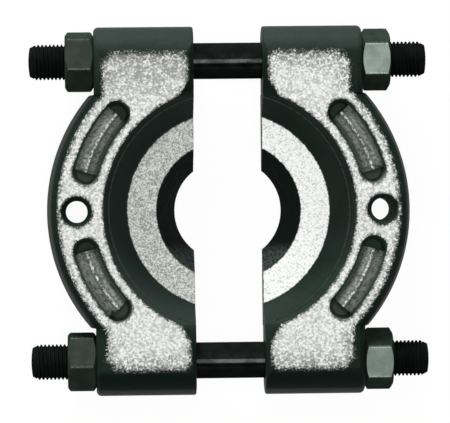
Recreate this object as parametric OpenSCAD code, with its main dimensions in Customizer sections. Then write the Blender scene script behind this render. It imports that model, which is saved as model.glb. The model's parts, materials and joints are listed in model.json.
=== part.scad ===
/* [Opening] */
// Gap between the split faces of the two jaws
jaw_gap = 26.6; // [1:0.1:46]
// How far the centre of a jaw's arcs lies beyond its split face
arc_offset = 12; // [9:0.5:14]

/* [Jaw plate] */
// Thickness of a jaw between its two ground faces
jaw_t = 26; // [24:0.5:29]
// Depth that grinding took off each face of the rough forging
ground_off = 0.35; // [0.2:0.05:0.5]
// Radius of the outer wall at the parting line
outer_r = 69.1; // [67:0.1:73]
// Draft of the outer wall above and below the parting line, in degrees
outer_draft = 9; // [6:0.5:11]
// Rounding of the outer wall into the faces
outer_edge_r = 5; // [3:0.5:6]
// Radius of the plate's inner edge, where the dish begins
plate_r = 47.5; // [46:0.1:49]

/* [Dish and lip] */
// Width of the slope that leads from the ground face into the dish
dish_mouth_w = 0.6; // [0.3:0.1:1]
// Depth of that slope
dish_mouth_depth = 0.8; // [0.4:0.1:1.2]
// Radius at the foot of the steep wall of the dish
wall_foot_r = 45.6; // [44.5:0.1:46]
// Width of the narrow step at the foot of that wall
step_w = 0.6; // [0.3:0.1:1.2]
// Height of the step above the underside
step_h = 20; // [17:0.5:22]
// Radius at which the cone of the dish meets the lip
cone_foot_r = 38.6; // [37:0.1:41]
// Rounding between the cone and the lip
cone_foot_fillet = 1.2; // [0.5:0.1:2]
// Height of the flat lip above the underside
lip_h = 10.5; // [8:0.5:13]
// Radius of the lip's inner edge, where the bevel begins
lip_r = 26.4; // [24:0.1:30]
// Radius of the knife edge
knife_r = 19.5; // [17:0.1:22]
// Thickness that is left at the knife edge
knife_t = 1; // [0.5:0.1:2]

/* [Relief at the split face] */
// Distance from the centre line at which the relief reaches the split face's rounding
relief_y = 50; // [47:0.5:53]
// Angle of the relief's edge from the split face, seen from above, in degrees
relief_turn = 31; // [20:1:40]
// Slope of the relief from the ground face down to the dish, in degrees
relief_slope = 50; // [45:1:70]
// Depth of the relief
relief_depth = 5; // [3:0.5:5.5]

/* [Stud bosses] */
// Distance between the axes of the two studs
stud_spacing = 116; // [114:0.5:124]
// Length of a boss along its stud
boss_l = 38.6; // [37:0.1:41]
// Rounding of the boss ends into the upper and lower faces
boss_edge_r = 4; // [3:0.5:5]
// Rounding of the barrel's end beside the nut
barrel_nut_r = 2; // [0.5:0.1:2.5]
// Rounding of the barrel's end at the split face
barrel_split_r = 0.8; // [0.3:0.1:2]
// Distance from the stud axis to the shoulder beside the nut
shoulder = 13; // [12.5:0.1:14]
// Rounding where the shoulder meets the outer wall
shoulder_r = 1.5; // [0.5:0.1:2]
// Clearance all round between a stud and its bore in the jaw
slide_clearance = 0.1; // [0.05:0.05:0.3]
// Chamfer at both mouths of the stud bores
bore_chamfer = 0.8; // [0.3:0.1:1.5]

/* [Pockets] */
// Rounding of a pocket's mouth, as forged
pocket_mouth_r = 1; // [0.6:0.1:1.5]
// Rounding along the foot of a pocket's walls
pocket_foot_fillet = 0.7; // [0.2:0.1:0.9]
// Width of a pocket at the ground face
pocket_w = 10.4; // [8:0.1:12]
// Angle from the jaw's centre line to the pocket's nearer end circle
pocket_start = 15.7; // [14:0.1:20]
// Angle from the jaw's centre line to the pocket's farther end circle
pocket_end = 41.8; // [36:0.1:43]
// Depth of the pocket at its round ends
pocket_depth = 6; // [4:0.5:8]
// Draft of the pocket walls, in degrees
pocket_draft = 14; // [5:1:18]
// Depth of the two grooves beside the pocket's ridge
groove_depth = 3.2; // [2:0.1:4.5]
// How far the ridge stood above the ground face before grinding
ridge_excess = 0.2; // [0.1:0.05:0.4]

/* [Leg holes] */
// Drilled diameter of the M10 tapped leg hole
leg_hole_d = 8.5; // [6.8:0.1:10.2]
// Diameter of the upper countersink
leg_sink_d = 12.2; // [11:0.1:13]
// Diameter of the lower countersink
leg_back_sink_d = 10.8; // [10.6:0.1:12]
// How far the hole lies outside the middle of the flat band
leg_hole_shift = 1.6; // [0:0.1:2]

/* [Studs] */
// Diameter of the plain shank
stud_d = 14; // [12:0.5:16]
// Length of a stud from end to end
stud_l = 154; // [150:1:180]
// Length of the thread at each end, with its chamfer
thread_l = 44; // [40:1:48]
// Pitch of the thread
thread_pitch = 1.5; // [1:0.25:2]
// Length of the chamfer at each end
stud_chamfer_l = 2.6; // [1:0.1:4]
// Diameter of the end face inside the chamfer
stud_end_d = 11.1; // [9:0.1:11.5]
// Height of the slight dome on the end face
stud_dome = 0.5; // [0.2:0.1:1]

/* [Nuts] */
// Width of a nut across its flats
nut_af = 21; // [20:0.5:21.5]
// Height of a nut
nut_h = 11; // [9:0.5:13]
// Diameter of a nut's round end face inside its chamfer
nut_face_d = 20; // [18:0.1:20.5]
// Angle of the corner chamfers, in degrees
nut_chamfer_angle = 30; // [20:1:40]
// How far the countersinks of a nut's thread reach beyond the shank, all round
nut_sink_excess = 0.3; // [0.1:0.1:0.5]
// Clearance all round between thread and nut at the pitch diameter
thread_clearance = 0.05; // [0.02:0.01:0.1]
// Angle of the upper left nut's corner from straight up
upper_left_turn = -15.9; // [-30:0.1:30]
// Angle of the lower left nut's corner from straight up
lower_left_turn = -7.8; // [-30:0.1:30]
// Angle of the upper right nut's corner from straight up
upper_right_turn = 30; // [-30:0.1:30]
// Angle of the lower right nut's corner from straight up
lower_right_turn = 24.5; // [-30:0.1:30]

/* [Hidden] */
$fn = 96;

forged_steel = [0.2, 0.22, 0.21];
black_steel = [0.07, 0.08, 0.075];
nut_steel = [0.24, 0.28, 0.26];

// How far a cutting shape reaches past the face that it cuts
past = 1;
// How far the pitch diameter lies inside the nominal one, in pitches
pitch_d_drop = 0.6495;

// The rough forging stands proud of both ground faces
forged_half_t = jaw_t / 2 + ground_off;
axis_h = jaw_t / 2;
stud_y = stud_spacing / 2;
boss_end = arc_offset + boss_l;
shoulder_y = stud_y - shoulder;
jaw_shift = jaw_gap / 2 - arc_offset;

// The wide end of the outer rounding, and the flat band that grinding leaves
edge_centre_z = forged_half_t - outer_edge_r;
edge_centre_r = outer_r - (outer_edge_r + edge_centre_z * sin(outer_draft)) / cos(outer_draft);
band_outer_r = edge_centre_r + sqrt(pow(outer_edge_r, 2) - pow(axis_h - edge_centre_z, 2));
band_mid_r = (plate_r + band_outer_r) / 2;

bore_r = stud_d / 2 + slide_clearance;
pitch_d = stud_d - pitch_d_drop * thread_pitch;
nut_bore_r = pitch_d / 2 + thread_clearance;
nut_corner_d = nut_af / cos(30);
nut_x = jaw_gap / 2 + boss_l;
shank_half_l = stud_l / 2 - thread_l;

// How far a rounding that is tangent to the rough face still reaches beside the ground one
function left_of_rounding(r) = sqrt(pow(r, 2) - pow(r - ground_off, 2));

// Centre of the rounding of a pocket's mouth, and where it meets the drafted wall,
// both from the middle of the mouth
pocket_mouth = [pocket_w / 2 + left_of_rounding(pocket_mouth_r), ground_off - pocket_mouth_r];
pocket_touch = pocket_mouth + pocket_mouth_r * [-cos(pocket_draft), sin(pocket_draft)];

function unit(v) = v / norm(v);

// The sliver between a corner's two edges and the circle that touches both.
// Taken off an outer corner it rounds it, added to an inner corner it fills it.
module corner_sliver(corner, along_a, along_b, r) {
  half_angle = acos(unit(along_a) * unit(along_b)) / 2;
  run = r / tan(half_angle);
  inward = unit(unit(along_a) + unit(along_b));
  centre = corner + inward * r / sin(half_angle);
  difference() {
    polygon([corner + unit(along_a) * run, centre, corner + unit(along_b) * run,
             corner - inward * past]);
    translate(centre) circle(r = r);
  }
}

// Section of the drafted outer wall, with the parting line at half height
module outer_section() {
  top_r = outer_r - forged_half_t * tan(outer_draft);
  wall = [outer_r - top_r, -forged_half_t];
  translate([0, axis_h]) difference() {
    polygon([[0, -forged_half_t], [top_r, -forged_half_t], [outer_r, 0],
             [top_r, forged_half_t], [0, forged_half_t]]);
    for (side = [0, 1]) mirror([0, side])
      corner_sliver([top_r, forged_half_t], [-1, 0], wall, outer_edge_r);
  }
}

// Section of all that the dish, the lip and the bevel leave open
module dish_section() {
  cone_foot = [cone_foot_r, lip_h];
  step_edge = [wall_foot_r - step_w, step_h];
  wall_foot = [wall_foot_r, step_h];
  mouth = [plate_r, jaw_t];
  slope = [dish_mouth_w, dish_mouth_depth];
  difference() {
    polygon([[0, -past], [knife_r, -past], [knife_r, knife_t], [lip_r, lip_h], cone_foot,
             step_edge, wall_foot, mouth - slope, mouth + slope, [0, jaw_t + dish_mouth_depth]]);
    corner_sliver(cone_foot, [-1, 0], step_edge - cone_foot, cone_foot_fillet);
  }
}

// Side view of a boss, from the split face to the nut's seat
module boss_section() {
  difference() {
    translate([arc_offset, -forged_half_t]) square([boss_l, 2 * forged_half_t]);
    for (side = [0, 1]) mirror([0, side]) {
      corner_sliver([arc_offset, forged_half_t], [1, 0], [0, -1], boss_edge_r);
      corner_sliver([boss_end, forged_half_t], [-1, 0], [0, -1], boss_edge_r);
    }
  }
}

// Half ring between the two bosses, up to the shoulders
module ring_body() {
  difference() {
    intersection() {
      rotate([0, 0, -90]) rotate_extrude(angle = 180) outer_section();
      translate([arc_offset, -shoulder_y, -past]) cube([outer_r, 2 * shoulder_y, jaw_t + 2 * past]);
    }
    for (side = [0, 1]) mirror([0, side, 0]) shoulder_rounding();
  }
}

// Vertical rounding where the shoulder runs out into the outer wall
module shoulder_rounding() {
  corner_x = sqrt(pow(outer_r, 2) - pow(shoulder_y, 2));
  translate([0, 0, -past]) linear_extrude(jaw_t + 2 * past)
    corner_sliver([corner_x, shoulder_y], [-1, 0], [shoulder_y, -corner_x], shoulder_r);
}

// Flat-sided inner half and barrel-shaped outer half of the upper boss
module boss_body() {
  translate([0, stud_y, axis_h]) {
    rotate([90, 0, 0]) linear_extrude(shoulder) boss_section();
    intersection() {
      rotate([-90, 0, 0]) linear_extrude(forged_half_t + past) boss_section();
      rotate([0, 90, 0]) rotate_extrude(angle = 180) barrel_profile();
    }
  }
}

// Half section of the barrel, with the stud axis as its turning axis
module barrel_profile() {
  difference() {
    translate([0, arc_offset]) square([forged_half_t, boss_l]);
    corner_sliver([forged_half_t, arc_offset], [-1, 0], [0, 1], barrel_split_r);
    corner_sliver([forged_half_t, boss_end], [-1, 0], [0, -1], barrel_nut_r);
  }
}

// Takes off the corner between the dish's mouth and the rounding of the split face
module relief_cut() {
  edge_x = arc_offset + boss_edge_r - left_of_rounding(boss_edge_r);
  run = past / tan(relief_slope);
  foot = relief_depth / tan(relief_slope);
  length = 2 * (relief_y - knife_r);
  translate([edge_x, relief_y, jaw_t]) rotate([0, 0, relief_turn - 180]) rotate([90, 0, 0])
    translate([0, 0, -length / 2]) linear_extrude(length)
      polygon([[-run, past], [foot, -relief_depth], [foot + relief_depth, -relief_depth],
               [foot + relief_depth, past]]);
}

// The forging, ground flat on both faces and opened by the dish
module jaw_blank() {
  difference() {
    intersection() {
      union() {
        ring_body();
        for (side = [0, 1]) mirror([0, side, 0]) boss_body();
      }
      translate([0, -stud_spacing, 0]) cube([2 * outer_r, 2 * stud_spacing, jaw_t]);
    }
    rotate_extrude() dish_section();
    for (side = [0, 1]) mirror([0, side, 0]) relief_cut();
  }
}

// Foot of the drafted wall at a given depth
function pocket_foot(depth) =
  [pocket_touch[0] - (pocket_touch[1] + depth) * tan(pocket_draft), -depth];

// Section of a pocket's round end, from its middle outwards
module pocket_end_section() {
  foot = pocket_foot(pocket_depth);
  difference() {
    polygon([[0, -pocket_depth], foot, pocket_touch, pocket_mouth, [pocket_mouth[0], past], [0, past]]);
    corner_sliver(foot, [-1, 0], pocket_touch - foot, pocket_foot_fillet);
    translate(pocket_mouth) circle(r = pocket_mouth_r);
  }
}

// Section of one groove, from the ridge's crest outwards
module pocket_groove_section() {
  crest = [0, ridge_excess];
  foot = pocket_foot(groove_depth);
  difference() {
    polygon([crest, foot, pocket_touch, pocket_mouth, [pocket_mouth[0], past], [0, past]]);
    corner_sliver(foot, crest - foot, pocket_touch - foot, pocket_foot_fillet);
    translate(pocket_mouth) circle(r = pocket_mouth_r);
  }
}

// Round, drafted end of a pocket, cut on the far side of its centre plane
module pocket_end_cut(angle, turn) {
  rotate([0, 0, angle]) translate([band_mid_r, 0, jaw_t]) rotate([0, 0, turn])
    rotate_extrude(angle = 180) pocket_end_section();
}

// The two grooves of a pocket, with the ridge between them
module pocket_groove_cut() {
  rotate([0, 0, pocket_start]) rotate_extrude(angle = pocket_end - pocket_start)
    translate([band_mid_r, jaw_t]) for (side = [0, 1]) mirror([side, 0]) pocket_groove_section();
}

// Bore of one stud, chamfered at both mouths
module stud_bore() {
  translate([arc_offset, stud_y, axis_h]) rotate([0, 90, 0]) {
    translate([0, 0, -past]) cylinder(r = bore_r, h = boss_l + 2 * past);
    translate([0, 0, -past])
      cylinder(r1 = bore_r + bore_chamfer + past, r2 = bore_r, h = bore_chamfer + past);
    translate([0, 0, boss_l - bore_chamfer])
      cylinder(r1 = bore_r, r2 = bore_r + bore_chamfer + past, h = bore_chamfer + past);
  }
}

// Tapped hole for a puller leg, countersunk on both faces
module leg_hole() {
  hole_r = leg_hole_d / 2;
  top_sink = leg_sink_d / 2 - hole_r;
  back_sink = leg_back_sink_d / 2 - hole_r;
  translate([band_mid_r + leg_hole_shift, 0, 0]) {
    translate([0, 0, -past]) cylinder(r = hole_r, h = jaw_t + 2 * past);
    translate([0, 0, jaw_t - top_sink])
      cylinder(r1 = hole_r, r2 = leg_sink_d / 2 + past, h = top_sink + past);
    translate([0, 0, -past])
      cylinder(r1 = leg_back_sink_d / 2 + past, r2 = hole_r, h = back_sink + past);
  }
}

// One jaw, with the centre of its arcs on the Z axis and its body towards +X
module jaw() {
  color(forged_steel) difference() {
    jaw_blank();
    for (side = [0, 1]) mirror([0, side, 0]) {
      pocket_groove_cut();
      pocket_end_cut(pocket_start, 180);
      pocket_end_cut(pocket_end, 0);
      stud_bore();
    }
    leg_hole();
  }
}

module right_jaw() {
  translate([jaw_shift, 0, 0]) jaw();
}

module left_jaw() {
  rotate([0, 0, 180]) right_jaw();
}

// Half of a stud's outline, from its middle to its domed end
module stud_profile() {
  end_z = stud_l / 2 - stud_dome;
  end_r = stud_end_d / 2;
  dome_r = (pow(end_r, 2) + pow(stud_dome, 2)) / (2 * stud_dome);
  step = (stud_d - pitch_d) / 2;
  polygon([[0, 0], [stud_d / 2, 0], [stud_d / 2, shank_half_l - step], [pitch_d / 2, shank_half_l],
           [pitch_d / 2, end_z - stud_chamfer_l], [end_r, end_z], [0, end_z]]);
  intersection() {
    translate([0, stud_l / 2 - dome_r]) circle(r = dome_r);
    translate([0, end_z - stud_dome]) square([end_r, 2 * stud_dome]);
  }
}

// A stud along X: plain shank, and a thread zone at the pitch diameter at each end
module stud() {
  color(black_steel) translate([0, 0, axis_h]) for (side = [0, 1]) mirror([side, 0, 0])
    rotate([0, 90, 0]) rotate_extrude() stud_profile();
}

module upper_stud() {
  translate([0, stud_y, 0]) stud();
}

module lower_stud() {
  translate([0, -stud_y, 0]) stud();
}

// Outline of a nut's chamfered blank, turned about its axis
module nut_blank_profile() {
  face_r = nut_face_d / 2;
  corner_r = nut_corner_d / 2 + past;
  rise = (corner_r - face_r) * tan(nut_chamfer_angle);
  polygon([[0, 0], [face_r, 0], [corner_r, rise], [corner_r, nut_h - rise], [face_r, nut_h], [0, nut_h]]);
}

// Hexagon nut with its seat at x = 0 and its body towards +X
module nut(turn) {
  sink_r = stud_d / 2 + nut_sink_excess;
  sink = sink_r - nut_bore_r;
  color(nut_steel) rotate([-turn, 0, 0]) rotate([0, 90, 0]) difference() {
    intersection() {
      cylinder(d = nut_corner_d, h = nut_h, $fn = 6);
      rotate_extrude() nut_blank_profile();
    }
    translate([0, 0, -past]) cylinder(r = nut_bore_r, h = nut_h + 2 * past);
    translate([0, 0, -past]) cylinder(r1 = sink_r + past, r2 = nut_bore_r, h = sink + past);
    translate([0, 0, nut_h - sink]) cylinder(r1 = nut_bore_r, r2 = sink_r + past, h = sink + past);
  }
}

module upper_right_nut() {
  translate([nut_x, stud_y, axis_h]) nut(upper_right_turn);
}

module lower_right_nut() {
  translate([nut_x, -stud_y, axis_h]) nut(lower_right_turn);
}

module upper_left_nut() {
  translate([-nut_x, stud_y, axis_h]) mirror([1, 0, 0]) nut(upper_left_turn);
}

module lower_left_nut() {
  translate([-nut_x, -stud_y, axis_h]) mirror([1, 0, 0]) nut(lower_left_turn);
}

left_jaw();
right_jaw();
upper_stud();
lower_stud();
upper_left_nut();
lower_left_nut();
upper_right_nut();
lower_right_nut();
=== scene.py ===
"""Looks of a bearing separator: two forged jaws on threaded studs, drawn up by hexagon nuts.

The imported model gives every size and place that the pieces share. This script cuts the real threads
into studs, nuts and leg holes, finishes forgings and bars, and sets up the studio. Lengths of meshes
are in metres; the materials work in millimetres.
"""

import json
import logging
import math
from collections.abc import Iterator, Sequence
from contextlib import contextmanager
from dataclasses import dataclass
from enum import Enum
from functools import reduce

import bpy
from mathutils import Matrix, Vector


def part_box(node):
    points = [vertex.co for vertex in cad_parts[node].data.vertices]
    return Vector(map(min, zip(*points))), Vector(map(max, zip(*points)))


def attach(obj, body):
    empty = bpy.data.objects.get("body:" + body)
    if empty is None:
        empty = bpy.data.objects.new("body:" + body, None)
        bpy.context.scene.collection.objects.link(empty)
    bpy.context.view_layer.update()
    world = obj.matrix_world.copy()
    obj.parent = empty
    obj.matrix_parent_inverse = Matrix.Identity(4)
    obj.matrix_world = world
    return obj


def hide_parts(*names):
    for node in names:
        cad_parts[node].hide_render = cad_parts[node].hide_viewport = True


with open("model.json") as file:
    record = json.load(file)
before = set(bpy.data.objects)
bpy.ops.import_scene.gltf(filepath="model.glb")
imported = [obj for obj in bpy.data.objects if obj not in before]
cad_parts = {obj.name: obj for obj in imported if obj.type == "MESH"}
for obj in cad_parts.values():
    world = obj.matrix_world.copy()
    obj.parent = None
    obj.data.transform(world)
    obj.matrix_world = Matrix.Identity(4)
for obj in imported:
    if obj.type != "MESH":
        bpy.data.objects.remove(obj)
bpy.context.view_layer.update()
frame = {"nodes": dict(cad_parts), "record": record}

MM = 0.001
LOG = logging.getLogger("bearing_separator")

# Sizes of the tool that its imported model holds, but doesn't name
JAW_OUTER_RADIUS = 69.1 * MM
THREAD_LENGTH = 44 * MM
STUD_CHAMFER_LENGTH = 2.6 * MM
STUD_END_RADIUS = 5.55 * MM
STUD_DOME = 0.5 * MM
NUT_ACROSS_FLATS = 21 * MM
NUT_CORNER_RADIUS = NUT_ACROSS_FLATS / math.sqrt(3)
NUT_FACE_RADIUS = 10 * MM
NUT_CHAMFER_ANGLE = math.radians(30)

# Form of a metric thread: slope of a flank, and depth of the pitch line as a share of the pitch
FLANK_SLOPE = math.tan(math.radians(30))
PITCH_LINE_DEPTH = 0.32476

# How finely round things are made, and how far cutting tools stand off or reach past
TURNED_STEPS = 96
THREAD_STEPS = 48
SAME_POINT = 0.002 * MM
FLANK_PLAY = 0.02 * MM
CUT_PAST = 0.15 * MM

Shape = bpy.types.Object
Node = bpy.types.Node
NodeTree = bpy.types.NodeTree
Socket = bpy.types.NodeSocket
Colour = tuple[float, float, float, float]
Range = tuple[float, float]

# Corners beside the X axis, as (place along it, distance from it)
Outline = Sequence[tuple[float, float]]


class Side(Enum):
    """The side of the gap on which a piece lies, as the sign of its X."""

    LEFT = -1
    RIGHT = 1


class Cut(Enum):
    """What a boolean modifier keeps of two shapes."""

    DIFFERENCE = "DIFFERENCE"
    INTERSECT = "INTERSECT"


class Pick(Enum):
    """The kind of element that is selected in a mesh."""

    VERTICES = "VERT"
    EDGES = "EDGE"
    FACES = "FACE"


def deselect_all() -> None:
    """Leaves edit mode and deselects every object."""
    if bpy.context.object is not None and bpy.context.object.mode != "OBJECT":
        bpy.ops.object.mode_set(mode="OBJECT")
    bpy.ops.object.select_all(action="DESELECT")


def activate(shape: Shape) -> None:
    """Makes one shape the only selected and active one.

    Args:
        shape: The shape to work on.
    """
    deselect_all()
    shape.select_set(True)
    bpy.context.view_layer.objects.active = shape


@contextmanager
def editing(shape: Shape, kind: Pick = Pick.VERTICES, chosen: Sequence[bool] | None = None) -> Iterator[None]:
    """Opens a shape's mesh in edit mode and closes it again.

    Args:
        shape: The shape to edit.
        kind: The kind of element that is selected.
        chosen: Which edges or faces are selected; None selects all.

    Yields:
        Nothing, with the mesh open.
    """
    activate(shape)
    bpy.ops.object.mode_set(mode="EDIT")
    bpy.ops.mesh.select_mode(type=kind.value)
    bpy.ops.mesh.select_all(action="SELECT" if chosen is None else "DESELECT")
    if chosen is not None:
        bpy.ops.object.mode_set(mode="OBJECT")
        elements = shape.data.edges if kind is Pick.EDGES else shape.data.polygons
        elements.foreach_set("select", chosen)
        bpy.ops.object.mode_set(mode="EDIT")
    yield
    bpy.ops.mesh.select_mode(type="VERT")
    bpy.ops.object.mode_set(mode="OBJECT")


def place(shape: Shape, location: Sequence[float], rotation: Sequence[float] = (0.0, 0.0, 0.0)) -> Shape:
    """Turns and moves a shape, and writes its place into its mesh.

    Args:
        shape: The shape, made at the origin.
        location: Where its origin goes.
        rotation: Euler angles in radians.

    Returns:
        The same shape, with its object at the origin.
    """
    activate(shape)
    shape.rotation_euler = rotation
    shape.location = location
    bpy.ops.object.transform_apply(location=True, rotation=True, scale=True)
    return shape


def draw_line(name: str, points: Outline, closed: bool) -> Shape:
    """Draws a line of edges beside the X axis by extruding one point.

    Args:
        name: Name of the new object.
        points: Its corners.
        closed: Whether the last corner joins the first.

    Returns:
        The object that holds the line.
    """
    deselect_all()
    bpy.ops.mesh.primitive_plane_add(size=MM, location=(0, 0, 0))
    shape = bpy.context.object
    shape.name = name
    corners = [Vector((along, 0.0, radius)) for along, radius in points]
    with editing(shape):
        bpy.ops.mesh.merge(type="CENTER")
        bpy.ops.transform.translate(value=corners[0])
        for here, there in zip(corners, corners[1:]):
            bpy.ops.mesh.extrude_region_move(TRANSFORM_OT_translate={"value": there - here})
        if closed:
            bpy.ops.mesh.select_all(action="SELECT")
            bpy.ops.mesh.edge_face_add()
            bpy.ops.mesh.delete(type="ONLY_FACE")
    return shape


def close_shell(shape: Shape, hole_sides: int = 0) -> None:
    """Merges doubles, caps small holes and turns all faces outwards.

    Args:
        shape: The shape whose mesh is closed.
        hole_sides: Most sides that a hole may have to be capped; 0 caps none.
    """
    with editing(shape):
        bpy.ops.mesh.remove_doubles(threshold=SAME_POINT)
        if hole_sides:
            bpy.ops.mesh.select_all(action="SELECT")
            bpy.ops.mesh.fill_holes(sides=hole_sides)
        bpy.ops.mesh.select_all(action="SELECT")
        bpy.ops.mesh.normals_make_consistent(inside=False)


def turned(name: str, outline: Outline, closed: bool) -> Shape:
    """Turns an outline about the X axis, as on a lathe.

    Args:
        name: Name of the new object.
        outline: Its corners.
        closed: Whether the outline is a ring, with a bore through the shape.

    Returns:
        The closed turned shape.
    """
    shape = draw_line(name, outline, closed)
    with editing(shape):
        bpy.ops.mesh.spin(steps=TURNED_STEPS, angle=2 * math.pi, center=(0, 0, 0), axis=(1, 0, 0))
    close_shell(shape)
    return shape


def modify(shape: Shape, kind: str, **settings: object) -> None:
    """Adds a modifier to a shape and applies it.

    Args:
        shape: The shape to change.
        kind: Type name of the modifier.
        **settings: Its properties.
    """
    activate(shape)
    bpy.ops.object.modifier_add(type=kind)
    modifier = shape.modifiers[-1]
    for key, value in settings.items():
        setattr(modifier, key, value)
    bpy.ops.object.modifier_apply(modifier=modifier.name)


def combine(shape: Shape, tool: Shape, cut: Cut) -> None:
    """Cuts a shape with another, which is removed."""
    modify(shape, "BOOLEAN", solver="EXACT", operation=cut.value, object=tool)
    bpy.data.objects.remove(tool)


def smooth(shape: Shape, angle: float) -> None:
    """Shades a shape smooth up to an angle between faces, in degrees."""
    activate(shape)
    bpy.ops.object.shade_smooth_by_angle(angle=math.radians(angle), keep_sharp_edges=True)


def copied(name: str, source: Shape) -> Shape:
    """Copies a shape, with a mesh of its own, into the scene.

    Args:
        name: Name of the copy.
        source: The shape that is copied.

    Returns:
        The copy.
    """
    copy = bpy.data.objects.new(name, source.data.copy())
    bpy.context.scene.collection.objects.link(copy)
    return copy


def axis_point(node: str) -> Vector:
    """Point on the axis of a stud or nut, in the middle of the tool, by the name of its CAD node."""
    low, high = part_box(node)
    return Vector((0, (low.y + high.y) / 2, (low.z + high.z) / 2))


@dataclass(frozen=True)
class Thread:
    """One metric thread with flanks at 60 degrees.

    Attributes:
        nominal: Nominal diameter.
        pitch: Distance from crest to crest.
    """

    nominal: float
    pitch: float

    def groove(self, root: float, crest: float) -> Outline:
        """Section of an outside thread's groove, by the radius of its bottom and of the crests."""
        return self._section(root, crest + CUT_PAST, 1, 0.0)

    def inside_groove(self, root_play: float, bore: float) -> Outline:
        """Section of a nut thread's groove, by the gap outside a bolt's crests and the bore's radius."""
        return self._section(self.nominal / 2 + root_play, bore - CUT_PAST, -1, FLANK_PLAY)

    def _section(self, root: float, mouth: float, sign: int, play: float) -> Outline:
        """Section of a groove that widens from root to mouth.

        Args:
            root: Radius of its bottom.
            mouth: Radius that the cut reaches.
            sign: 1 if it widens outwards, -1 if inwards.
            play: Gap that it leaves beside each flank.

        Returns:
            Its corners, about its middle.
        """
        pitch_radius = self.nominal / 2 - PITCH_LINE_DEPTH * self.pitch
        root_half, mouth_half = (self.pitch / 4 + sign * (radius - pitch_radius) * FLANK_SLOPE + play
                                 for radius in (root, mouth))
        return [(-root_half, root), (root_half, root), (mouth_half, mouth), (-mouth_half, mouth)]

    def cutter(self, name: str, section: Outline, start: float, end: float) -> Shape:
        """Winds a groove's section into the right-hand helix that cuts it.

        Args:
            name: Name of the new object.
            section: Corners of the section.
            start: Place along X where the helix begins, at the top of its turn.
            end: Place along X that it reaches or passes.

        Returns:
            The closed helical shape about the X axis.
        """
        shape = draw_line(name, [(start + along, radius) for along, radius in section], closed=True)
        modify(shape, "SCREW", axis="X", angle=2 * math.pi, screw_offset=self.pitch,
               iterations=math.ceil((end - start) / self.pitch), steps=THREAD_STEPS,
               render_steps=THREAD_STEPS)
        close_shell(shape, hole_sides=len(section))
        return shape


STUD_THREAD = Thread(nominal=14 * MM, pitch=1.5 * MM)
LEG_THREAD = Thread(nominal=10 * MM, pitch=1.5 * MM)


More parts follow.
